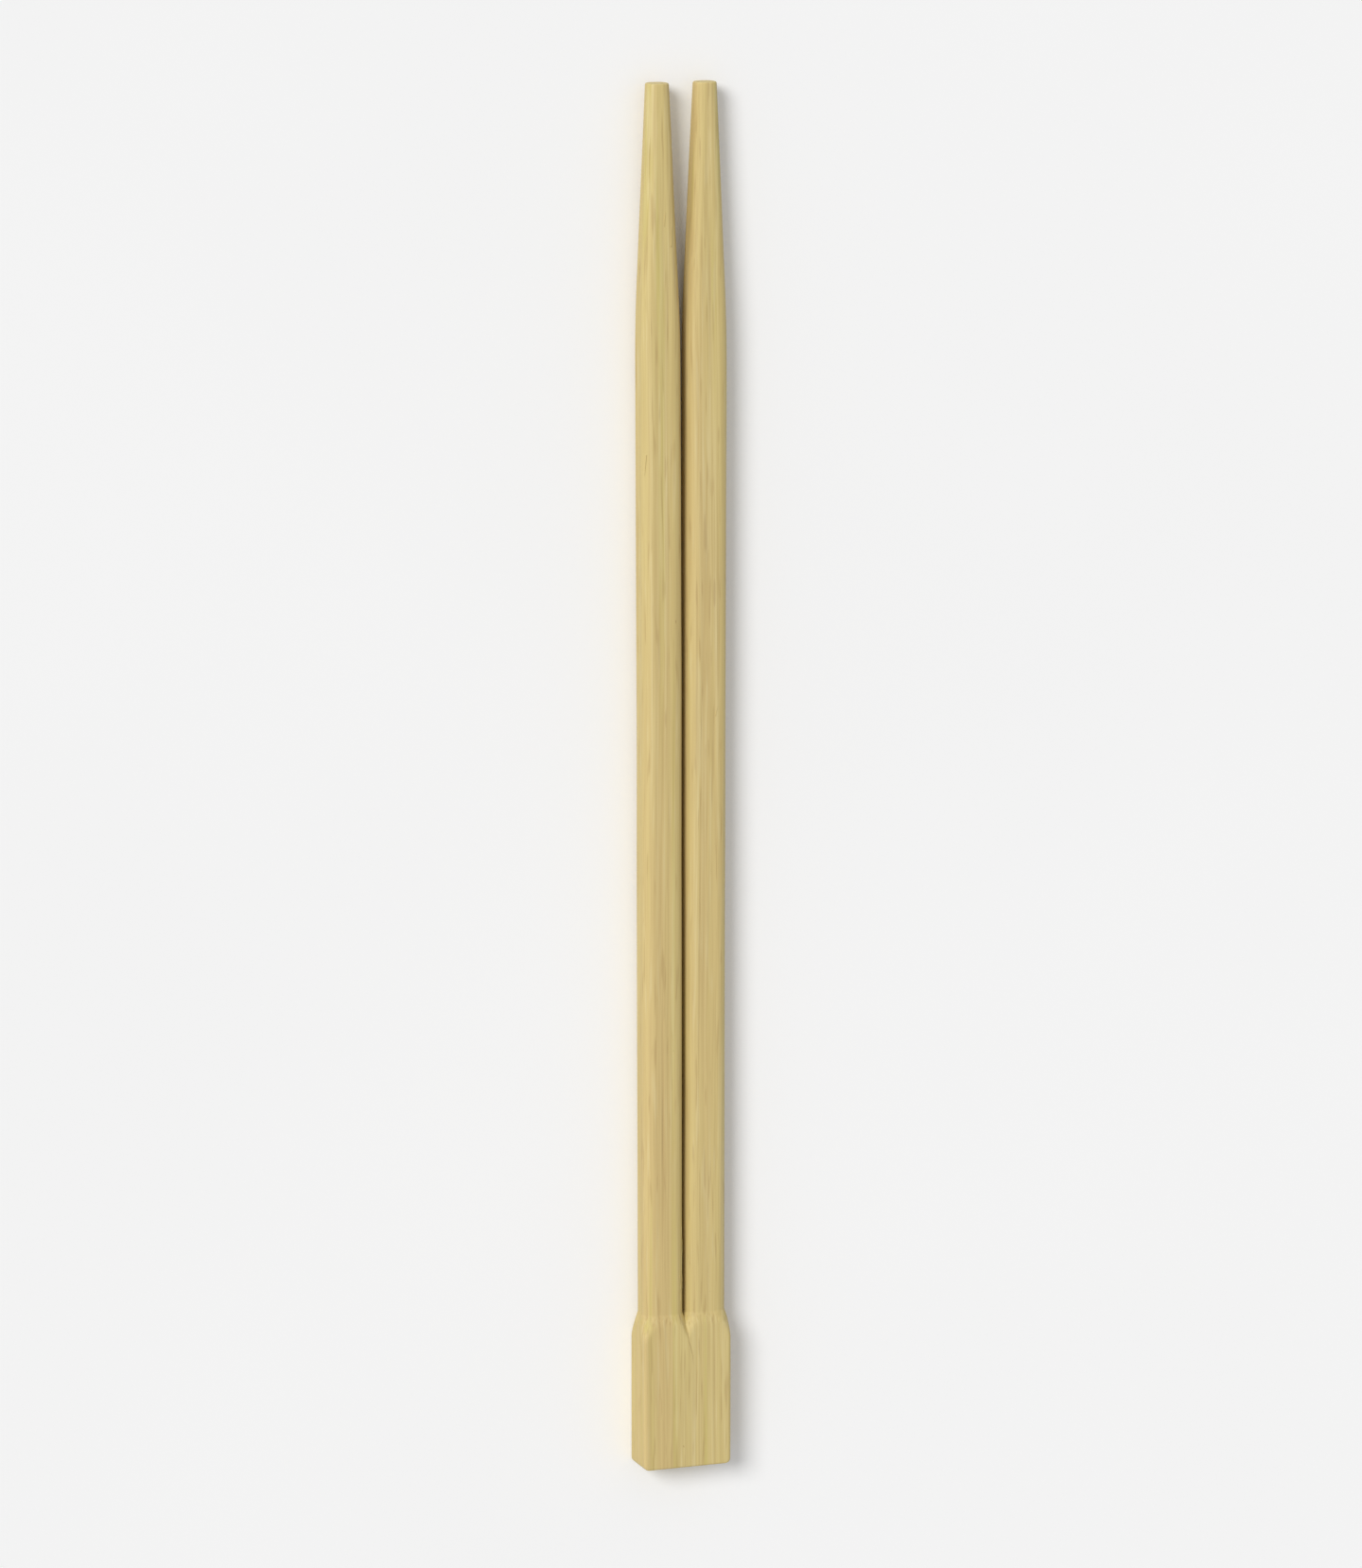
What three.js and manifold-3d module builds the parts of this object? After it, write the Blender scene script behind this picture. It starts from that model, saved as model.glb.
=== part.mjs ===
// Twin chopsticks, made from one bamboo slat. Two sticks with rounded edges and slim, nearly round
// tips stay joined at a thicker head block until they are pulled apart. Each chopstick is a solid
// with its half of the block, and the two meet face to face on the plane where the pair snaps.
// Millimetres, +Z up. The pair lies flat on its head block with the tips towards +Y. The origin is
// midway along the pair, on the surface that the block lies on.

import * as THREE from "three";
import { mergeVertices } from "three/addons/utils/BufferGeometryUtils.js";
import Module from "manifold-3d";

// Lengths along the pair
const LENGTH = 210; // butt face to tips
const HEAD_LENGTH = 24; // butt face to the shoulder, where the sticks start
const TAPER_LENGTH = 42; // the slimmed end of each stick
const TAPER_ENTRY = 0.3; // share of the taper that eases in before it runs straight

// One stick
const STICK_WIDTH = 6.3;
const STICK_THICKNESS = 5.3;
const STICK_CORNER_RADIUS = 1.7;
const TIP_WIDTH = 3.5;
const TIP_THICKNESS = 3.4;
const TIP_CORNER_RADIUS = 1.5;
const TIP_CHAMFER = 0.25; // breaks the edge of the blunt end

// The two sticks beside each other
const SLIT_WIDTH = 0.45; // the saw cut between them, at the shoulder
const TIP_GAP = 3.9; // clear space between the two tips

// The head block around the sticks
const SIDE_STEP = 0.475; // the block stands this proud of a stick's outer side
const FACE_STEP = 0.45; // and this proud of its broad faces
const HEAD_EDGE_RADIUS = 0.4; // the long edges
const BUTT_CORNER_RADIUS = 0.8; // corners of the butt end, seen from above
const BUTT_EDGE_RADIUS = 0.3; // edges of the butt end, seen from the side
const SHOULDER_SLOPE = 0.33; // rise for each millimetre as the cutter leaves the slat

// Steps of the curved surfaces
const ARC_STEPS = 4; // an arc of an outline takes twice as many
const CORNER_STEPS = 8; // each rounded corner of a stick's section
const BODY_STEPS = 9;
const TAPER_STEPS = 16;

const CUT_MARGIN = 1; // how far a cutting solid reaches past what it cuts
const MOST_ROUND = 0.98; // a corner radius stays under this share of half its wall

// Places worked out from the sizes
const HEAD_WIDTH = 2 * (STICK_WIDTH + SIDE_STEP) + SLIT_WIDTH;
const HEAD_THICKNESS = STICK_THICKNESS + 2 * FACE_STEP;
const BUTT_Y = -LENGTH / 2;
const TIP_Y = LENGTH / 2;
const SHOULDER_Y = BUTT_Y + HEAD_LENGTH;
const TAPER_START_Y = TIP_Y - TAPER_LENGTH;
const CHAMFER_START_Y = TIP_Y - TIP_CHAMFER;
const ROOT_CENTRE_X = (SLIT_WIDTH + STICK_WIDTH) / 2;
const TIP_CENTRE_X = (TIP_GAP + TIP_WIDTH) / 2;

const ACROSS = new THREE.Vector3(1, 0, 0);
const ALONG = new THREE.Vector3(0, 1, 0);
const UP = new THREE.Vector3(0, 0, 1);

const wasm = await Module();
wasm.setup();

// A closed geometry as a solid that can be joined and cut.
function solidOf(geometry) {
  const bare = geometry.clone();
  bare.deleteAttribute("normal");
  bare.deleteAttribute("uv");
  const merged = mergeVertices(bare, 1e-4);
  const mesh = new wasm.Mesh({
    numProp: 3,
    vertProperties: new Float32Array(merged.attributes.position.array),
    triVerts: new Uint32Array(merged.index.array),
  });
  return new wasm.Manifold(mesh);
}

// A finished solid as a geometry that can be drawn.
function geometryOf(solid) {
  const { vertProperties, triVerts } = solid.getMesh();
  const geometry = new THREE.BufferGeometry();
  geometry.setAttribute("position", new THREE.BufferAttribute(vertProperties, 3));
  geometry.setIndex(new THREE.BufferAttribute(triVerts, 1));
  geometry.computeVertexNormals();
  return geometry;
}

// An outline extruded to both sides of its plane. Its x runs along right, its y along up.
function extruded(outline, depth, right, up) {
  const options = { depth, bevelEnabled: false, curveSegments: ARC_STEPS };
  const geometry = new THREE.ExtrudeGeometry(outline, options);
  const normal = right.clone().cross(up);
  geometry.translate(0, 0, -depth / 2);
  geometry.applyMatrix4(new THREE.Matrix4().makeBasis(right, up, normal));
  return solidOf(geometry);
}

function roundedRectangle(width, height, radius) {
  const x = width / 2 - radius;
  const y = height / 2 - radius;
  const outline = new THREE.Shape();
  outline.absarc(x, y, radius, 0, Math.PI / 2);
  outline.absarc(-x, y, radius, Math.PI / 2, Math.PI);
  outline.absarc(-x, -y, radius, Math.PI, 1.5 * Math.PI);
  outline.absarc(x, -y, radius, 1.5 * Math.PI, 2 * Math.PI);
  return outline;
}

// The slat's outline along its length: rounded corners at the butt, uncut past the tips.
function slatOutline(breadth, cornerRadius) {
  const half = breadth / 2;
  const end = TIP_Y + CUT_MARGIN;
  const corner = BUTT_Y + cornerRadius;
  const outline = new THREE.Shape();
  outline.moveTo(end, -half);
  outline.lineTo(end, half);
  outline.absarc(corner, half - cornerRadius, cornerRadius, Math.PI / 2, Math.PI);
  outline.absarc(corner, cornerRadius - half, cornerRadius, Math.PI, 1.5 * Math.PI);
  return outline;
}

// The planed slat before the sticks are cut: its section, its plan and its side view in one solid.
function slat() {
  const section = roundedRectangle(HEAD_WIDTH, HEAD_THICKNESS, HEAD_EDGE_RADIUS);
  const plan = slatOutline(HEAD_WIDTH, BUTT_CORNER_RADIUS);
  const side = slatOutline(HEAD_THICKNESS, BUTT_EDGE_RADIUS);
  return extruded(section, LENGTH + 2 * CUT_MARGIN, ACROSS, UP)
    .intersect(extruded(plan, HEAD_THICKNESS + CUT_MARGIN, ALONG, ACROSS))
    .intersect(extruded(side, HEAD_WIDTH + CUT_MARGIN, ALONG, UP));
}

// How far a stick's section has to grow until it fills the slat's corner and the groove between
// the sticks. From a stick's corner centre, the slat's edge and the top of the groove are furthest.
function fullGrowth() {
  const cornerZ = STICK_THICKNESS / 2 - STICK_CORNER_RADIUS;
  const outerX = ROOT_CENTRE_X + STICK_WIDTH / 2 - STICK_CORNER_RADIUS;
  const innerX = ROOT_CENTRE_X - STICK_WIDTH / 2 + STICK_CORNER_RADIUS;
  const edgeX = HEAD_WIDTH / 2 - HEAD_EDGE_RADIUS;
  const edgeZ = HEAD_THICKNESS / 2 - HEAD_EDGE_RADIUS;
  const toEdge = Math.hypot(edgeX - outerX, edgeZ - cornerZ) + HEAD_EDGE_RADIUS;
  const toGroove = Math.hypot(innerX, HEAD_THICKNESS / 2 - cornerZ);
  return Math.max(toEdge, toGroove) - STICK_CORNER_RADIUS;
}

const BLOCK_END_Y = SHOULDER_Y - fullGrowth() / SHOULDER_SLOPE; // the uncut block ends here

// How much of the slimming is done at y: it starts softly and then runs straight to the tip.
function taperShare(y) {
  const share = THREE.MathUtils.clamp((y - TAPER_START_Y) / TAPER_LENGTH, 0, 1);
  const straight = 1 - TAPER_ENTRY / 2;
  if (share < TAPER_ENTRY) return share ** 2 / (2 * TAPER_ENTRY * straight);
  return (share - TAPER_ENTRY / 2) / straight;
}

// A stick's section at y. It is offset outwards below the shoulder and inwards at the tip's edge.
function sectionAt(y) {
  const { lerp } = THREE.MathUtils;
  const taper = taperShare(y);
  const shoulder = Math.max(0, SHOULDER_Y - y) * SHOULDER_SLOPE;
  const offset = shoulder - Math.max(0, y - CHAMFER_START_Y);
  const halfWidth = lerp(STICK_WIDTH, TIP_WIDTH, taper) / 2 + offset;
  const halfThickness = lerp(STICK_THICKNESS, TIP_THICKNESS, taper) / 2 + offset;
  const radius = lerp(STICK_CORNER_RADIUS, TIP_CORNER_RADIUS, taper) + offset;
  return { halfWidth, halfThickness, radius };
}

// A stick's distance from the middle at y. The sticks spread a little towards the tips.
function centreAt(y) {
  const share = THREE.MathUtils.clamp((y - SHOULDER_Y) / (TIP_Y - SHOULDER_Y), 0, 1);
  return THREE.MathUtils.lerp(ROOT_CENTRE_X, TIP_CENTRE_X, share);
}

// The rounded outline of one section as points in space, counter-clockwise seen along +Y.
function ringAt(y, side) {
  const { halfWidth, halfThickness, radius } = sectionAt(y);
  const limited = Math.min(radius, MOST_ROUND * Math.min(halfWidth, halfThickness));
  const quarters = [
    [1, 1],
    [-1, 1],
    [-1, -1],
    [1, -1],
  ];
  return quarters.flatMap(([right, up], quarter) => {
    const x = side * centreAt(y) + right * (halfWidth - limited);
    const z = up * (halfThickness - limited);
    const start = (quarter * Math.PI) / 2;
    const arc = new THREE.EllipseCurve(x, z, limited, limited, start, start + Math.PI / 2);
    return arc.getPoints(CORNER_STEPS).map((p) => new THREE.Vector3(p.x, y, p.y));
  });
}

// A closed surface through rings of as many points each, with a flat cap at both ends.
function lofted(rings) {
  const count = rings[0].length;
  const last = rings.length - 1;
  const points = rings.flat();
  const startCap = points.length;
  const endCap = startCap + 1;
  for (const ring of [rings[0], rings[last]]) {
    const middle = ring.reduce((sum, p) => sum.add(p), new THREE.Vector3());
    points.push(middle.divideScalar(count));
  }
  const triangles = [];
  for (let i = 0; i < count; i++) {
    const next = (i + 1) % count;
    triangles.push(startCap, i, next);
    triangles.push(endCap, last * count + next, last * count + i);
    for (let base = 0; base < last * count; base += count) {
      triangles.push(base + i, base + count + i, base + count + next);
      triangles.push(base + i, base + count + next, base + next);
    }
  }
  return new THREE.BufferGeometry().setFromPoints(points).setIndex(triangles);
}

function evenSteps(from, to, steps) {
  return Array.from({ length: steps + 1 }, (_, i) => THREE.MathUtils.lerp(from, to, i / steps));
}

// One stick on the side +1 or -1, from inside the head block to its tip.
function stick(side) {
  const stations = [
    BLOCK_END_Y - CUT_MARGIN,
    ...evenSteps(SHOULDER_Y, TAPER_START_Y, BODY_STEPS),
    ...evenSteps(TAPER_START_Y, CHAMFER_START_Y, TAPER_STEPS).slice(1),
    TIP_Y,
  ];
  return solidOf(lofted(stations.map((y) => ringAt(y, side))));
}

// The uncut part of the block, a little oversize, because the slat then trims it.
function block() {
  const startY = BUTT_Y - CUT_MARGIN;
  const length = BLOCK_END_Y - startY;
  const box = new THREE.BoxGeometry(HEAD_WIDTH + CUT_MARGIN, length, HEAD_THICKNESS + CUT_MARGIN);
  box.translate(0, startY + length / 2, 0);
  return solidOf(box);
}

// All the space on one side of the plane where the pair snaps apart.
function sideOfSnapPlane(side) {
  const breadth = HEAD_WIDTH / 2 + CUT_MARGIN;
  const length = LENGTH + 2 * CUT_MARGIN;
  const box = new THREE.BoxGeometry(breadth, length, HEAD_THICKNESS + CUT_MARGIN);
  box.translate((side * breadth) / 2, 0, 0);
  return solidOf(box);
}

const bamboo = new THREE.MeshStandardMaterial({
  name: "bamboo",
  color: 0xdecb96,
  roughness: 0.65,
  metalness: 0,
  flatShading: true,
});

// One chopstick on the side +1 or -1: a stick that grows out of its half of the block.
function chopstick(name, side) {
  const solid = block().add(stick(side)).intersect(slat()).intersect(sideOfSnapPlane(side));
  const mesh = new THREE.Mesh(geometryOf(solid), bamboo);
  mesh.name = name;
  mesh.position.z = HEAD_THICKNESS / 2;
  return mesh;
}

const pair = new THREE.Group();
pair.name = "twin_chopsticks";
pair.add(chopstick("left_chopstick", -1));
pair.add(chopstick("right_chopstick", 1));

export default pair;
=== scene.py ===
# Twin bamboo chopsticks, still joined at the head block, lying on a pale table.
# The pair is modelled in metres in the frame of its construction model: +Y runs from the block to
# the tips, +X across the pair and +Z up.

import math
import random

import bmesh
import bpy
from mathutils import Euler, Matrix, Vector, noise


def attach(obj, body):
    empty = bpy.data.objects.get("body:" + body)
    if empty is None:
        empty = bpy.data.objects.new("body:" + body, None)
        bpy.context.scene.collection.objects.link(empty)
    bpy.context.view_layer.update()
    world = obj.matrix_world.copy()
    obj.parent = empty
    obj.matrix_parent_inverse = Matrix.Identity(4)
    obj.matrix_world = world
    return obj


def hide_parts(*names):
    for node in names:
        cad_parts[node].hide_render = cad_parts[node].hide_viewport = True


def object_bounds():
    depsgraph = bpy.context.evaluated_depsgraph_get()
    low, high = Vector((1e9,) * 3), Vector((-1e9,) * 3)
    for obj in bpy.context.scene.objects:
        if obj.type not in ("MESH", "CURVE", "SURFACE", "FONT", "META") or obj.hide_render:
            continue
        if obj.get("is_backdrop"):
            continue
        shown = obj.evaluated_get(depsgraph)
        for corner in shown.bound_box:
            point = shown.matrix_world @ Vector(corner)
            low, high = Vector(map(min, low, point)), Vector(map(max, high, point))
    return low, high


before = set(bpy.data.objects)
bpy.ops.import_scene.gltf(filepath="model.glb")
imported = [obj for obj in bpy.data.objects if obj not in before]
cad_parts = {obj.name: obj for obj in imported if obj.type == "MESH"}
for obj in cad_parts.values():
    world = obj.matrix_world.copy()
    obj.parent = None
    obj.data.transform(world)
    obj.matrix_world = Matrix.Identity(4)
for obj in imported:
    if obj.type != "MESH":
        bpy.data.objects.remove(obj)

bl_info = {
    "name": "Twin Chopsticks",
    "version": (1, 0, 0),
    "blender": (4, 5, 0),
    "location": "View3D > Sidebar > Chopsticks",
    "description": "Models a pair of bamboo chopsticks that is still joined at its head block",
    "category": "Add Mesh",
}

CAD_LOW, CAD_HIGH = (tuple(corner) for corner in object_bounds())
MM = 0.001


class PairSettings(bpy.types.PropertyGroup):
    """Sizes of the pair. The overall size comes from the construction model."""

    head_width: bpy.props.FloatProperty(
        name="Head Width",
        description="Width of the head block across both sticks",
        default=CAD_HIGH[0] - CAD_LOW[0],
        unit="LENGTH",
    )
    head_thickness: bpy.props.FloatProperty(
        name="Head Thickness",
        description="Thickness of the slat that the pair is cut from",
        default=CAD_HIGH[2] - CAD_LOW[2],
        unit="LENGTH",
    )
    head_length: bpy.props.FloatProperty(
        name="Head Length",
        description="From the butt face to the shoulder, where the sticks start",
        default=24 * MM,
        unit="LENGTH",
    )
    stick_width: bpy.props.FloatProperty(
        name="Stick Width",
        description="Width of one stick before its taper",
        default=6.3 * MM,
        unit="LENGTH",
    )
    stick_thickness: bpy.props.FloatProperty(
        name="Stick Thickness",
        description="Thickness of one stick before its taper",
        default=5.3 * MM,
        unit="LENGTH",
    )
    stick_radius: bpy.props.FloatProperty(
        name="Stick Corner Radius",
        description="Radius of a stick's long edges",
        default=1.7 * MM,
        unit="LENGTH",
    )
    slit_width: bpy.props.FloatProperty(
        name="Slit Width",
        description="Saw cut between the two sticks at the shoulder",
        default=0.45 * MM,
        unit="LENGTH",
    )
    tip_gap: bpy.props.FloatProperty(
        name="Tip Gap",
        description="Clear space between the two tips",
        default=3.9 * MM,
        unit="LENGTH",
    )
    taper_length: bpy.props.FloatProperty(
        name="Taper Length",
        description="Length of the slimmed end of each stick",
        default=42 * MM,
        unit="LENGTH",
    )
    tip_width: bpy.props.FloatProperty(
        name="Tip Width",
        description="Width of the blunt tip",
        default=3.5 * MM,
        unit="LENGTH",
    )
    tip_thickness: bpy.props.FloatProperty(
        name="Tip Thickness",
        description="Thickness of the blunt tip",
        default=3.4 * MM,
        unit="LENGTH",
    )
    unevenness: bpy.props.FloatProperty(
        name="Unevenness",
        description="How far the planed surface dips below the true shape",
        default=0.09 * MM,
        unit="LENGTH",
    )
    bend: bpy.props.FloatProperty(
        name="Bend",
        description="How far each stick may wander sideways or up and down over its length",
        default=0.35 * MM,
        unit="LENGTH",
    )


class BambooSettings(bpy.types.PropertyGroup):
    """Colours and relief of the raw bamboo."""

    straw: bpy.props.FloatVectorProperty(
        name="Straw",
        description="The main pale tone",
        subtype="COLOR",
        size=3,
        default=(0.665, 0.53, 0.22),
    )
    tan: bpy.props.FloatVectorProperty(
        name="Tan",
        description="The warmer, slightly pink tone of the soft tissue",
        subtype="COLOR",
        size=3,
        default=(0.65, 0.48, 0.21),
    )
    green: bpy.props.FloatVectorProperty(
        name="Green",
        description="The yellow-green tone of fresh streaks",
        subtype="COLOR",
        size=3,
        default=(0.60, 0.51, 0.155),
    )
    cream: bpy.props.FloatVectorProperty(
        name="Cream",
        description="The palest streaks and the freshly cut ends",
        subtype="COLOR",
        size=3,
        default=(0.75, 0.63, 0.33),
    )
    fibre: bpy.props.FloatVectorProperty(
        name="Fibre",
        description="The brown of the fibre bundles",
        subtype="COLOR",
        size=3,
        default=(0.34, 0.20, 0.07),
    )
    relief: bpy.props.FloatProperty(
        name="Relief",
        description="Strength of the fibre ridges in the surface",
        default=0.55,
        min=0.0,
        max=1.0,
        subtype="FACTOR",
    )


class StageSettings(bpy.types.PropertyGroup):
    """Table, lights and camera."""

    table: bpy.props.FloatVectorProperty(
        name="Table",
        description="Colour of the table for the light that it throws back",
        subtype="COLOR",
        size=3,
        default=(0.86, 0.86, 0.86),
    )
    seen_table: bpy.props.FloatVectorProperty(
        name="Seen Table",
        description="Colour of the table for the camera",
        subtype="COLOR",
        size=3,
        default=(0.975, 0.975, 0.975),
    )
    lean_to_tips: bpy.props.FloatProperty(
        name="Lean to the Tips",
        description="How far the camera leans from overhead towards the tips",
        default=math.radians(11),
        subtype="ANGLE",
    )
    lean_to_left: bpy.props.FloatProperty(
        name="Lean to the Left",
        description="How far the camera leans from overhead towards the left stick",
        default=math.radians(20),
        subtype="ANGLE",
    )
    distance: bpy.props.FloatProperty(
        name="Camera Distance",
        description="From the middle of the pair to the camera",
        default=1.16,
        unit="LENGTH",
    )
    fill: bpy.props.FloatProperty(
        name="Fill",
        description="Share of the picture's height that the pair takes",
        default=0.88,
        subtype="FACTOR",
    )


class Channel:
    """A node's output that arithmetic works on. Each operation adds a Math node."""

    def __init__(self, tree, socket):
        self.tree = tree
        self.socket = socket

    def math(self, operation, *values):
        return self.tree.add("ShaderNodeMath", {"operation": operation}, dict(enumerate(values)))

    def __add__(self, other):
        return self.math("ADD", self, other)

    def __sub__(self, other):
        return self.math("SUBTRACT", self, other)

    def __mul__(self, other):
        return self.math("MULTIPLY", self, other)

    def __rsub__(self, other):
        return self.math("SUBTRACT", other, self)

    __radd__ = __add__
    __rmul__ = __mul__

    def absolute(self):
        return self.math("ABSOLUTE", self)

    def ramp(self, low, high):
        """Rises smoothly from 0 at low to 1 at high. It falls where low is the larger."""
        settings = {"interpolation_type": "SMOOTHSTEP"}
        inputs = {"Value": self, "From Min": low, "From Max": high}
        return self.tree.add("ShaderNodeMapRange", settings, inputs)


class NodeTree:
    """The nodes of one material."""

    def __init__(self, name):
        self.material = bpy.data.materials.new(name)
        self.material.use_nodes = True
        self.nodes = self.material.node_tree.nodes
        self.links = self.material.node_tree.links
        self.nodes.clear()

    def add(self, kind, settings=None, inputs=None, output=0):
        """Adds a node, with its settings first and then the values or links of its sockets."""
        node = self.nodes.new(kind)
        for name, value in (settings or {}).items():
            setattr(node, name, value)
        for name, value in (inputs or {}).items():
            if isinstance(value, Channel):
                self.links.new(value.socket, node.inputs[name])
            else:
                node.inputs[name].default_value = value
        return Channel(self, node.outputs[output])

    def mix(self, factor, first, second, blend="MIX"):
        """Mixes two colours. Sockets 0, 6 and 7 are the factor and the two colours."""
        settings = {"data_type": "RGBA", "blend_type": blend, "clamp_factor": True}
        inputs = {0: factor, 6: first, 7: second}
        return self.add("ShaderNodeMix", settings, inputs, output=2)

    def vector(self, operation, first, second):
        return self.add("ShaderNodeVectorMath", {"operation": operation}, {0: first, 1: second})

    def noise(self, position, detail=2.0, roughness=0.5, output="Fac"):
        inputs = {"Vector": position, "Scale": 1.0, "Detail": detail, "Roughness": roughness}
        return self.add("ShaderNodeTexNoise", None, inputs, output)

    def cells(self, position):
        """Distance to the nearest of many scattered points."""
        inputs = {"Vector": position, "Scale": 1.0, "Randomness": 0.9}
        return self.add("ShaderNodeTexVoronoi", None, inputs, "Distance")

    def part(self, axis, vector):
        """The X, Y or Z part of a vector."""
        return self.add("ShaderNodeSeparateXYZ", None, {0: vector}, axis)

    def surface(self, inputs):
        """Ends the tree in a Principled surface with the given inputs, and returns the material."""
        shader = self.add("ShaderNodeBsdfPrincipled", None, inputs)
        output = self.nodes.new("ShaderNodeOutputMaterial")
        self.links.new(shader.socket, output.inputs["Surface"])
        return self.material


# How the fibres wander off the straight: how often a metre, and how far in metres
DRIFT_RATE = (45.0, 9.0, 45.0)
DRIFT_REACH = (1.6 * MM, 0.0, 1.6 * MM)

# A hair-fine check: its dip in the relief is real, and its darker colour is painted shade in the
# crack. It is faintest at its far end.
CHECK_OPEN = -83.8 * MM
CHECK_FAR_END = -89.8 * MM
CHECK_SLANT = -0.19
CHECK_WANDER = 0.9 * MM
CHECK_HALF_WIDTH = 0.13 * MM


def opaque(colour):
    return (*colour, 1.0)


def grain_space(tree, across, along):
    """Object coordinates stretched along the grain, as features a metre, with fibres that wander."""
    place = tree.add("ShaderNodeTexCoord", output="Object")
    drift = tree.noise(tree.vector("MULTIPLY", place, DRIFT_RATE), output="Color")
    centred = tree.vector("SUBTRACT", drift, (0.5, 0.5, 0.5))
    wander = tree.vector("MULTIPLY", centred, DRIFT_REACH)
    return tree.vector("MULTIPLY", tree.vector("ADD", place, wander), (across, along, across))


def check_line_with_painted_shade(tree, place):
    """A hair-fine check on the upper face that runs on from the slit into the block, a bit askew.
    Its mask dips the relief and darkens the colour, which is painted shade in the crack.
    """
    along = tree.part("Y", place)
    wander = tree.noise(grain_space(tree, 30, 260), 2.0) - 0.5
    middle = (along - CHECK_OPEN) * CHECK_SLANT + wander * CHECK_WANDER
    line = (tree.part("X", place) - middle).absolute().ramp(CHECK_HALF_WIDTH, 0.04 * MM)
    start = along.ramp(CHECK_OPEN + 0.2 * MM, CHECK_OPEN - 0.4 * MM)
    end = along.ramp(CHECK_FAR_END, CHECK_FAR_END + 2.8 * MM)
    upper_face = tree.part("Z", place).ramp(4.5 * MM, 5.5 * MM)
    return line * start * end * upper_face


def bamboo_material(look):
    """Raw planed bamboo: long streaks along Y, and fibre bundles that show as dots on the ends."""
    tree = NodeTree("raw_bamboo")
    place = tree.add("ShaderNodeTexCoord", output="Object")
    normal = tree.add("ShaderNodeNewGeometry", output="Normal")
    end_grain = tree.part("Y", normal).absolute().ramp(0.55, 0.9)

    bands = tree.noise(grain_space(tree, 230, 4), 2.0, 0.45)
    streaks = tree.noise(grain_space(tree, 900, 12), 3.0, 0.6)
    fresh = tree.noise(grain_space(tree, 700, 6), 2.0, 0.5)
    fibres = tree.noise(grain_space(tree, 3600, 45), 2.0, 0.6)
    dashes = tree.noise(grain_space(tree, 2100, 120), 1.0, 0.5)
    cut_ends = tree.noise(grain_space(tree, 1500, 75), 1.0, 0.5)
    bundle_middle = tree.cells(grain_space(tree, 1150, 10))
    outer_side = tree.part("Z", place).ramp(CAD_LOW[2], CAD_HIGH[2])
    bundles = (bundle_middle - outer_side * 0.06).ramp(0.24, 0.08)
    pores = bundle_middle.ramp(0.09, 0.03)
    specks = tree.noise(grain_space(tree, 900, 420), 1.0, 0.5).ramp(0.80, 0.84)
    check_with_painted_shade = check_line_with_painted_shade(tree, place)

    colour = opaque(look.straw)
    for mask, tone in (
        (bands.ramp(0.34, 0.68) * 0.7, look.tan),
        (fresh.ramp(0.54, 0.68) * 0.5, look.green),
        (streaks.ramp(0.50, 0.74) * 0.5, look.cream),
        (end_grain * 0.5, look.cream),
        (cut_ends.ramp(0.58, 0.72) * 0.35, look.cream),
        (fibres.ramp(0.62, 0.30) * 0.18, look.fibre),
        (dashes.ramp(0.60, 0.74) * 0.28, look.fibre),
        (bundles * (0.16 + end_grain * 0.4), look.fibre),
        (pores * (0.22 + end_grain * 0.4), look.fibre),
        (specks * 0.8, look.fibre),
        # painted shade: the check line is darkened as if shade lay in the crack
        (check_with_painted_shade * 0.3, look.fibre),
    ):
        colour = tree.mix(mask, colour, opaque(tone))

    # the check's dip here is real relief; its darkening above is painted shade
    relief = fibres * 0.5 + streaks * 0.35 - bundles * 0.25 - pores * 0.4 - check_with_painted_shade * 0.5
    bump_inputs = {"Strength": look.relief, "Distance": 0.00012, "Height": relief}
    surface = {
        "Base Color": colour,
        "Roughness": 0.50 + fibres * 0.16 + end_grain * 0.2,
        "Normal": tree.add("ShaderNodeBump", None, bump_inputs),
        "Specular IOR Level": 0.35,
    }
    return tree.surface(surface)


def bamboo(scene):
    """The bamboo, made once and shared by all pieces."""
    return bpy.data.materials.get("raw_bamboo") or bamboo_material(scene.chopstick_bamboo)


def table_material(stage):
    """The matt table, a little uneven. The camera sees it whiter than it lights the bamboo."""
    tree = NodeTree("pale_table")
    place = tree.add("ShaderNodeTexCoord", output="Object")
    seen = tree.add("ShaderNodeLightPath", output="Is Camera Ray")
    tone = tree.noise(tree.vector("MULTIPLY", place, (9.0, 9.0, 9.0)))
    seen_tone = tree.mix(tone.ramp(0.3, 0.7) * 0.4, opaque(stage.seen_table), (1.0, 1.0, 1.0, 1.0))
    colour = tree.mix(seen, opaque(stage.table), seen_tone)
    return tree.surface({"Base Color": colour, "Roughness": 0.9, "Specular IOR Level": 0.1})


# The curved parts of the outline, in metres
HEAD_EDGE_RADIUS = 0.4 * MM
BUTT_CORNER_RADIUS = 0.8 * MM
BUTT_EDGE_RADIUS = 0.3 * MM
TIP_CORNER_RADIUS = 1.5 * MM
TIP_EDGE_RADIUS = 0.25 * MM
SHOULDER_SLOPE = 0.33
TAPER_ENTRY = 0.3
CREASE = 0.28 * MM  # how softly the stick's surface meets the block's

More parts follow.
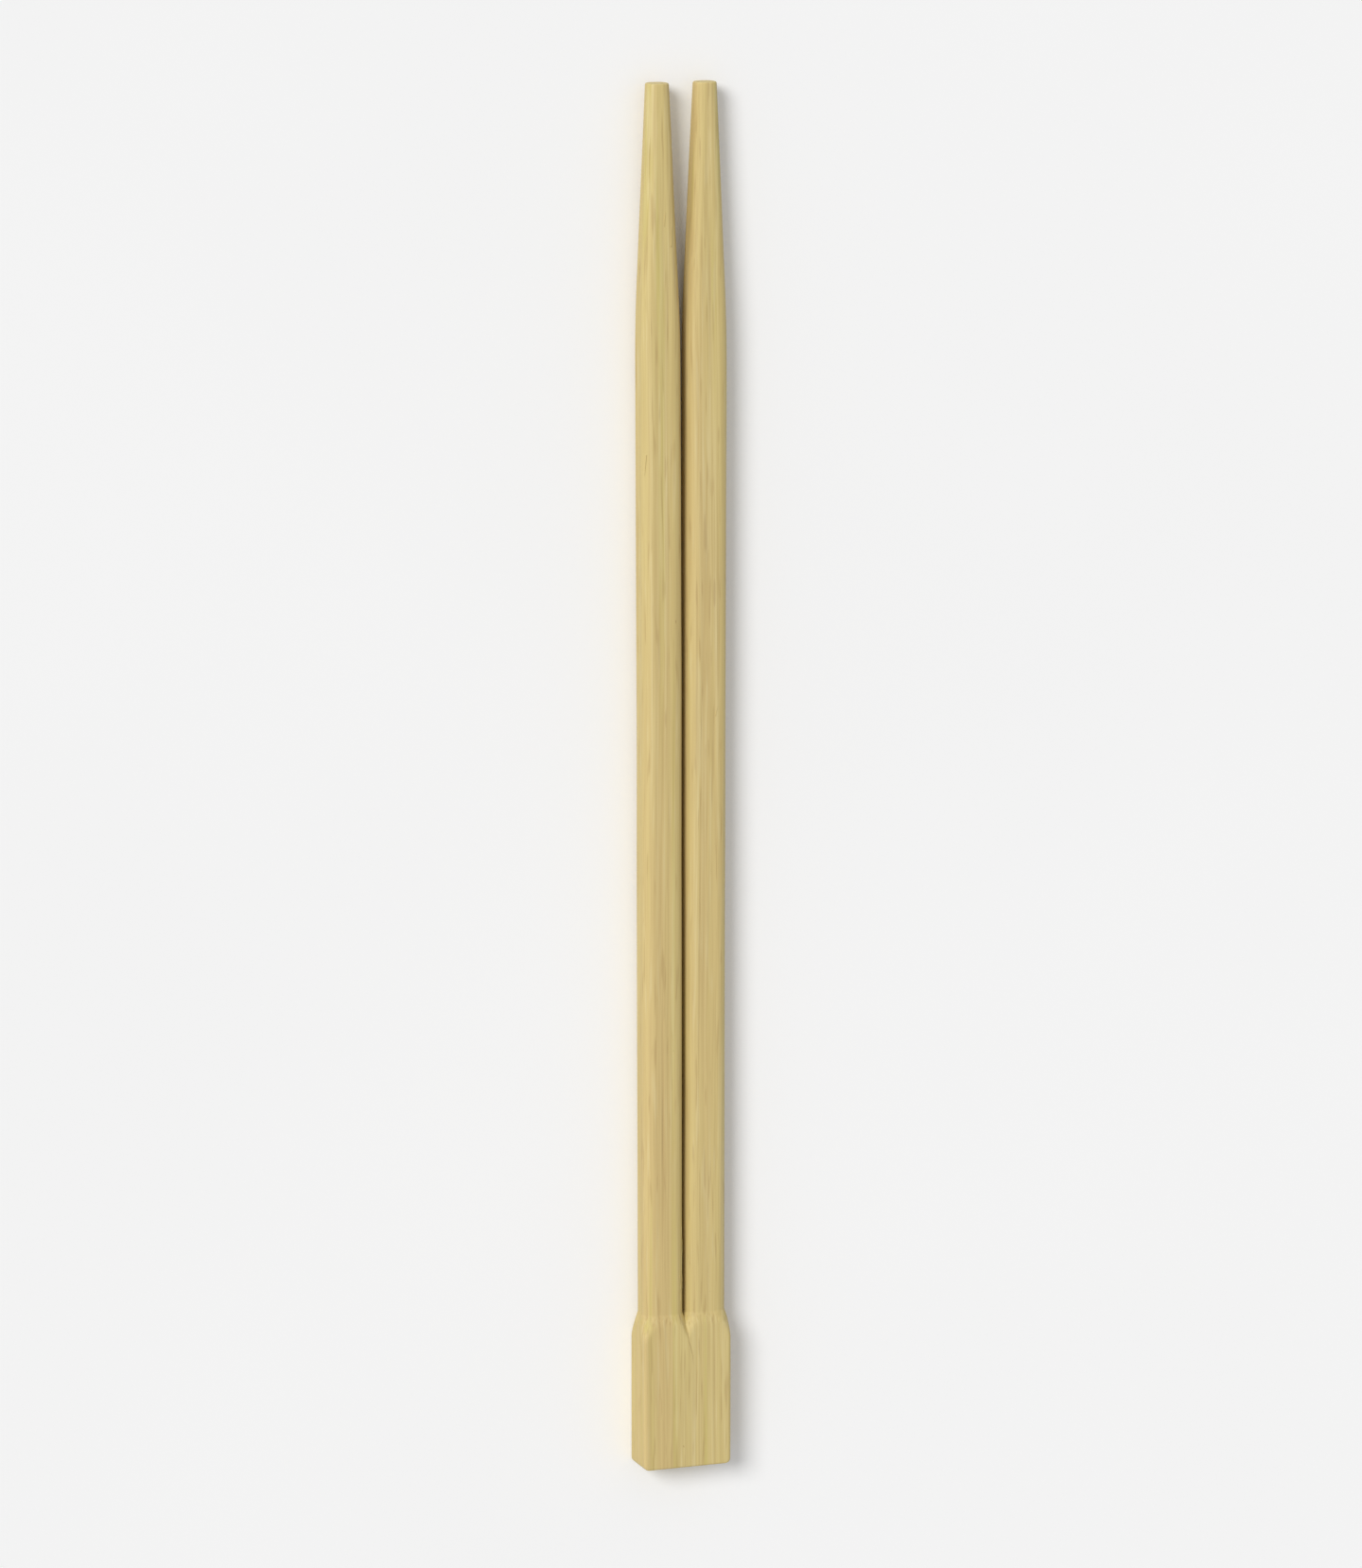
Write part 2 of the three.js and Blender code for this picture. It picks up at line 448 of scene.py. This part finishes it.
# The mesh is finest where the sticks grow out of the block
UPPER_STEPS = 54  # directions of a ring from the outer side to the snap plane's upper corner
INNER_STEPS = 17  # and from there to the middle of the inner side
ROUNDING_STEPS = 6
SHOULDER_REACH = 4.2 * MM
CAP_RINGS = (0.985, 0.9, 0.6, 0.3, 0.0)
SPLINTER_SIDES = 5
SPLINTER_STEPS = 7
SPLINTER_SEED = 11
BEND_SEED = 7
ON_SNAP_PLANE = 1e-7  # as near as this in metres counts as on the plane between the halves
MERGE_DISTANCE = 0.004 * MM


def lerp(first, second, share):
    return first + (second - first) * share


def clamp(value, low, high):
    return max(low, min(high, value))


def soft_min(first, second, width):
    """The smaller of two lengths, with the corner between them rounded off."""
    overlap = max(0.0, width - abs(first - second)) / width
    return min(first, second) - overlap**2 * width / 4


def rounding(distance, radius):
    """How far a rounded edge stands back at a distance from the end face."""
    inside = clamp(radius - distance, 0.0, radius)
    return radius - math.sqrt(radius**2 - inside**2)


def exit_distance(start_x, half_width, half_height, radius, across, up):
    """From (start_x, 0) to the edge of a rounded rectangle around the origin, in one direction."""
    flat_x = half_width - radius
    flat_z = half_height - radius
    if abs(across) > 1e-9:
        distance = (math.copysign(half_width, across) - start_x) / across
        if abs(distance * up) <= flat_z:
            return distance
    if abs(up) > 1e-9:
        distance = half_height / abs(up)
        if abs(start_x + distance * across) <= flat_x:
            return distance
    corner_x = math.copysign(flat_x, across) - start_x
    corner_z = math.copysign(flat_z, up)
    near = corner_x * across + corner_z * up
    return near + math.sqrt(max(0.0, near**2 - corner_x**2 - corner_z**2 + radius**2))


class Outline:
    """The pair's form: where the surface of the right half lies at each place along the grain."""

    def __init__(self, pair):
        self.pair = pair
        self.butt = CAD_LOW[1]
        self.tip = CAD_HIGH[1]
        self.middle_z = (CAD_LOW[2] + CAD_HIGH[2]) / 2
        self.shoulder = self.butt + pair.head_length
        self.taper = self.tip - pair.taper_length
        self.root_x = (pair.slit_width + pair.stick_width) / 2
        self.tip_x = (pair.tip_gap + pair.tip_width) / 2

    def centre_x(self, y):
        """The middle of the right stick. The sticks spread a little towards the tips."""
        share = clamp((y - self.shoulder) / (self.tip - self.shoulder), 0.0, 1.0)
        return lerp(self.root_x, self.tip_x, share)

    def slimming(self, y):
        """Share of the taper that is done at y. It starts softly and then runs straight."""
        share = clamp((y - self.taper) / self.pair.taper_length, 0.0, 1.0)
        straight = 1 - TAPER_ENTRY / 2
        if share < TAPER_ENTRY:
            return share**2 / (2 * TAPER_ENTRY * straight)
        return (share - TAPER_ENTRY / 2) / straight

    def stick(self, y):
        """Half width, half thickness and corner radius of a stick's section at y."""
        pair = self.pair
        slim = self.slimming(y)
        growth = max(0.0, self.shoulder - y) * SHOULDER_SLOPE
        offset = growth - rounding(self.tip - y, TIP_EDGE_RADIUS)
        return (
            lerp(pair.stick_width, pair.tip_width, slim) / 2 + offset,
            lerp(pair.stick_thickness, pair.tip_thickness, slim) / 2 + offset,
            lerp(pair.stick_radius, TIP_CORNER_RADIUS, slim) + offset,
        )

    def slat(self, y):
        """The same for the slat that the pair is cut from."""
        from_butt = y - self.butt
        half_width = self.pair.head_width / 2 - rounding(from_butt, BUTT_CORNER_RADIUS)
        half_height = self.pair.head_thickness / 2 - rounding(from_butt, BUTT_EDGE_RADIUS)
        return half_width, half_height, HEAD_EDGE_RADIUS

    def inner_corner(self, y):
        """Direction of the upper edge of the ring's flat inner side.

        Where the halves are joined this is the edge of the plane between them, and above the
        slit's root it is where the stick's inner side starts to curve.
        """
        half_width, half_height, radius = self.stick(y)
        if self.surface(y, -1.0, 0.0).x > 0.0:
            return math.pi - math.atan2(half_height - radius, half_width)
        low, high = math.pi / 2, math.pi
        for _ in range(30):
            middle = (low + high) / 2
            if self.surface(y, math.cos(middle), math.sin(middle)).x > 0.0:
                low = middle
            else:
                high = middle
        return high

    def directions(self, y):
        """Directions of the ring's vertices, with one at each corner of the flat inner side."""
        corner = self.inner_corner(y)
        upper = [corner * step / UPPER_STEPS for step in range(UPPER_STEPS)]
        inner = [lerp(corner, math.pi, step / INNER_STEPS) for step in range(INNER_STEPS)]
        half = upper + inner
        angles = half + [math.tau - angle for angle in [math.pi] + half[:0:-1]]
        return [(math.cos(angle), math.sin(angle)) for angle in angles]

    def surface(self, y, across, up, lift=0.0):
        """The right half's surface at y in one direction from the stick's middle."""
        centre = self.centre_x(y)
        to_stick = exit_distance(0.0, *self.stick(y), across, up)
        to_slat = exit_distance(centre, *self.slat(y), across, up)
        distance = soft_min(to_stick, to_slat, CREASE) + lift
        if centre + distance * across <= 0.0:
            return Vector((0.0, y, self.middle_z - centre / across * up))
        return Vector((centre + distance * across, y, self.middle_z + distance * up))

    def ring(self, y):
        """The outline of the right half at y."""
        return [self.surface(y, across, up) for across, up in self.directions(y)]

    def stations(self):
        """Places of the rings from the butt to the tip."""
        turns = [math.pi / 2 * step / ROUNDING_STEPS for step in range(ROUNDING_STEPS + 1)]
        butt_end = [self.butt + BUTT_CORNER_RADIUS * (1 - math.cos(turn)) for turn in turns]
        tip_end = [self.tip - TIP_EDGE_RADIUS * (1 - math.sin(turn)) for turn in turns]
        lead_out = self.shoulder - SHOULDER_REACH
        past_shoulder = self.shoulder + SHOULDER_REACH / 4
        return [
            *butt_end[:-1],
            *even_steps(butt_end[-1], lead_out, 0.8 * MM),
            *even_steps(lead_out, past_shoulder, 0.1 * MM),
            *even_steps(past_shoulder, self.taper, 1.2 * MM),
            *even_steps(self.taper, tip_end[0], 0.7 * MM),
            *tip_end,
        ]


def even_steps(start, end, step):
    """Even places from start up to end, which is left to the next stretch."""
    count = max(1, round((end - start) / step))
    return [lerp(start, end, index / count) for index in range(count)]


def extrude_ring(bm, ring, places):
    """Extrudes a closed ring of vertices and puts each new vertex in its place."""
    edges = [bm.edges.get(ends) for ends in zip(ring, ring[1:] + ring[:1])]
    made = bmesh.ops.extrude_edge_only(bm, edges=edges)["geom"]
    fresh = {item for item in made if isinstance(item, bmesh.types.BMVert)}
    following = []
    for vert, place in zip(ring, places):
        twins = (edge.other_vert(vert) for edge in vert.link_edges)
        twin = next(other for other in twins if other in fresh)
        twin.co = place
        following.append(twin)
    return following


def first_ring(bm, places):
    """A ring of edges through the places."""
    made = bmesh.ops.create_circle(bm, cap_ends=False, segments=len(places), radius=1.0)
    ring = made["verts"]
    for vert, place in zip(ring, places):
        vert.co = place
    return ring


def close_end(bm, ring):
    """Closes a ring with rings that shrink to its middle."""
    places = [vert.co.copy() for vert in ring]
    middle = sum(places, Vector()) / len(places)
    for share in CAP_RINGS:
        ring = extrude_ring(bm, ring, [middle.lerp(place, share) for place in places])


def right_half(bm, outline):
    """The right stick and its half of the block, open on the plane between the halves."""
    stations = outline.stations()
    start = first_ring(bm, outline.ring(stations[0]))
    close_end(bm, start)
    ring = start
    for y in stations[1:]:
        ring = extrude_ring(bm, ring, outline.ring(y))
    close_end(bm, ring)
    inside = [face for face in bm.faces if all(vert.co.x == 0.0 for vert in face.verts)]
    bmesh.ops.delete(bm, geom=inside, context="FACES")


def planing_noise(place, across, along, shift=0.0):
    """Noise stretched along the grain, as features a millimetre."""
    x, y, z = place / MM
    return noise.noise(Vector((x * across + shift, y * along, z * across)))


def weather(bm, outline, pair):
    """Makes the planed surface uneven and lets each stick grow a little out of true."""
    noise.seed_set(BEND_SEED)  # noise_vector would start from the clock otherwise
    for vert in bm.verts:
        y = vert.co.y / MM
        side = math.copysign(1.0, vert.co.x)
        centre = side * outline.centre_x(vert.co.y)
        inward = Vector((centre - vert.co.x, 0.0, outline.middle_z - vert.co.z))
        if abs(vert.co.x) < ON_SNAP_PLANE:
            inward.x = 0.0
        wave = planing_noise(vert.co, 0.35, 0.045)
        ridge = planing_noise(vert.co, 1.5, 0.02, 40)
        dip = pair.unevenness * clamp(0.5 + 0.45 * wave + 0.35 * ridge, 0.0, 1.0)
        reach = max(0.5 * MM, math.hypot(centre - vert.co.x, inward.z))
        vert.co += inward * dip / reach
        free = clamp((vert.co.y - outline.shoulder) / (outline.tip - outline.shoulder), 0.0, 1.0)
        bend = noise.noise_vector(Vector((side * 5.3, y * 0.011, 2.7)))
        vert.co += Vector((bend.x, 0.0, bend.z)) * pair.bend * math.sqrt(free) * free


def finished(bm, name, material):
    """Turns a bmesh into a smooth object at the origin."""
    bmesh.ops.remove_doubles(bm, verts=bm.verts, dist=MERGE_DISTANCE)
    bmesh.ops.recalc_face_normals(bm, faces=bm.faces)
    for face in bm.faces:
        face.smooth = True
    mesh = bpy.data.meshes.new(name)
    bm.to_mesh(mesh)
    bm.free()
    mesh.materials.append(material)
    piece = bpy.data.objects.new(name, mesh)
    bpy.context.collection.objects.link(piece)
    return piece


class CHOPSTICKS_OT_add_pair(bpy.types.Operator):
    """Add the two sticks and the head block that joins them, as one piece of bamboo"""

    bl_idname = "chopsticks.add_pair"
    bl_label = "Add Chopstick Pair"
    bl_options = {"REGISTER", "UNDO"}

    def execute(self, context):
        pair = context.scene.chopstick_pair
        outline = Outline(pair)
        bm = bmesh.new()
        right_half(bm, outline)
        everything = bm.verts[:] + bm.edges[:] + bm.faces[:]
        bmesh.ops.mirror(bm, geom=everything, matrix=Matrix(), merge_dist=1e-6, axis="X")
        weather(bm, outline, pair)
        piece = finished(bm, "chopstick_pair", bamboo(context.scene))
        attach(piece, "root")
        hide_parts("left_chopstick", "right_chopstick")
        return {"FINISHED"}


def add_splinter(bm, outline, dice, place, turn):
    """A fine fibre that has come loose: it leaves the surface slowly and ends in a point."""
    low, high = place
    start = dice.uniform(low, high)
    length = dice.uniform(1.2, 3.6) * MM * dice.choice((-1, 1))
    lift = dice.uniform(0.05, 0.15) * MM
    drift = dice.uniform(-0.12, 0.12)
    side = dice.choice((-1, 1))
    thickness = dice.uniform(0.04, 0.075) * MM
    ring = None
    for step in range(SPLINTER_STEPS + 1):
        share = step / SPLINTER_STEPS
        angle = turn + drift * share
        across, up = math.cos(angle), math.sin(angle)
        y = clamp(start + length * share, outline.butt + thickness, outline.tip - thickness)
        centre = outline.surface(y, across, up, lift * share**2 - 1.2 * thickness)
        radius = thickness * (1 - 0.85 * share)
        places = []
        for corner in range(SPLINTER_SIDES):
            spin = math.tau * corner / SPLINTER_SIDES
            offset = Vector((math.cos(spin), 0.0, math.sin(spin))) * radius
            places.append(Vector((side, 1, 1)) * (centre + offset))
        if ring is None:
            ring = first_ring(bm, places)
            close_end(bm, ring)
        else:
            ring = extrude_ring(bm, ring, places)
    close_end(bm, ring)


class CHOPSTICKS_OT_add_splinters(bpy.types.Operator):
    """Add the fine fibres that stand off the sticks at the shoulder, the slit and the tips"""

    bl_idname = "chopsticks.add_splinters"
    bl_label = "Add Splinters"
    bl_options = {"REGISTER", "UNDO"}

    def execute(self, context):
        outline = Outline(context.scene.chopstick_pair)
        dice = random.Random(SPLINTER_SEED)
        bm = bmesh.new()
        slit_root = (outline.shoulder + 0.5 * MM, outline.shoulder + 14 * MM)
        edges = (outline.shoulder + 5 * MM, outline.taper)
        tapers = (outline.taper, outline.tip - 5 * MM)
        for place, count, turns in (
            (slit_root, 12, (2.35, 2.75)),
            (edges, 8, (0.3, 2.75)),
            (tapers, 10, (-0.4, 3.4)),
        ):
            for _ in range(count):
                add_splinter(bm, outline, dice, place, dice.uniform(*turns))
        piece = finished(bm, "splinters", bamboo(context.scene))
        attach(piece, "root")
        return {"FINISHED"}


class CHOPSTICKS_OT_add_stage(bpy.types.Operator):
    """Add the pale table, the lights and the camera"""

    bl_idname = "chopsticks.add_stage"
    bl_label = "Add Table, Lights and Camera"
    bl_options = {"REGISTER", "UNDO"}

    def execute(self, context):
        stage = context.scene.chopstick_stage
        add_table(stage)
        add_lights(context.scene)
        add_camera(context.scene, stage)
        context.scene.view_settings.view_transform = "Standard"
        return {"FINISHED"}


def add_table(stage):
    bm = bmesh.new()
    bmesh.ops.create_grid(bm, x_segments=1, y_segments=1, size=3.0)
    table = finished(bm, "table", table_material(stage))
    table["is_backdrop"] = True


def add_sun(name, strength, angle, tilt):
    """A sun lamp tilted from overhead: first towards the tips, then towards the left."""
    lamp = bpy.data.lights.new(name, "SUN")
    lamp.energy = strength
    lamp.angle = math.radians(angle)
    sun = bpy.data.objects.new(name, lamp)
    sun.rotation_euler = Euler([math.radians(turn) for turn in tilt])
    bpy.context.collection.objects.link(sun)


def add_lights(scene):
    """A soft key from the left and the tips, under an even pale sky."""
    add_sun("key", 1.9, 24, (-22, -42, 0))
    world = bpy.data.worlds.new("studio")
    world.use_nodes = True
    sky = world.node_tree.nodes["Background"].inputs
    sky["Color"].default_value = (1.0, 1.0, 1.0, 1.0)
    sky["Strength"].default_value = 0.5
    scene.world = world


def add_camera(scene, stage):
    """Looks down on the pair, with the tips at the top of the picture."""
    target = (Vector(CAD_LOW) + Vector(CAD_HIGH)) / 2
    lean = Euler((-stage.lean_to_tips, -stage.lean_to_left, 0.0)).to_matrix()
    back = (lean @ Vector((0.0, 0.0, 1.0))).normalized()
    along = Vector((0.0, 1.0, 0.0))
    up = (along - back * along.dot(back)).normalized()
    right = up.cross(back)
    camera = bpy.data.objects.new("camera", bpy.data.cameras.new("camera"))
    turn = Matrix((right, up, back)).transposed().to_4x4()
    camera.matrix_world = Matrix.Translation(target + back * stage.distance) @ turn
    seen_length = (CAD_HIGH[1] - CAD_LOW[1]) * along.dot(up)
    half_height = seen_length / stage.fill / 2
    camera.data.lens = camera.data.sensor_width / 2 * stage.distance / half_height
    camera.data.clip_start = 0.05
    bpy.context.collection.objects.link(camera)
    scene.camera = camera


class CHOPSTICKS_PT_panel(bpy.types.Panel):
    """Sizes, colours and pieces of the chopstick pair"""

    bl_label = "Twin Chopsticks"
    bl_idname = "CHOPSTICKS_PT_panel"
    bl_space_type = "VIEW_3D"
    bl_region_type = "UI"
    bl_category = "Chopsticks"

    def draw(self, context):
        scene = context.scene
        for group in (scene.chopstick_pair, scene.chopstick_bamboo, scene.chopstick_stage):
            box = self.layout.box()
            for name in group.bl_rna.properties.keys():
                if name not in {"rna_type", "name"}:
                    box.prop(group, name)
        for operator in OPERATORS:
            self.layout.operator(operator.bl_idname)


OPERATORS = (CHOPSTICKS_OT_add_pair, CHOPSTICKS_OT_add_splinters, CHOPSTICKS_OT_add_stage)
CLASSES = (PairSettings, BambooSettings, StageSettings, *OPERATORS, CHOPSTICKS_PT_panel)


def register():
    for item in CLASSES:
        bpy.utils.register_class(item)
    bpy.types.Scene.chopstick_pair = bpy.props.PointerProperty(type=PairSettings)
    bpy.types.Scene.chopstick_bamboo = bpy.props.PointerProperty(type=BambooSettings)
    bpy.types.Scene.chopstick_stage = bpy.props.PointerProperty(type=StageSettings)


def unregister():
    del bpy.types.Scene.chopstick_stage
    del bpy.types.Scene.chopstick_bamboo
    del bpy.types.Scene.chopstick_pair
    for item in reversed(CLASSES):
        bpy.utils.unregister_class(item)


def main():
    register()
    bpy.ops.chopsticks.add_pair()
    bpy.ops.chopsticks.add_splinters()
    bpy.ops.chopsticks.add_stage()


if __name__ == "__main__":
    main()
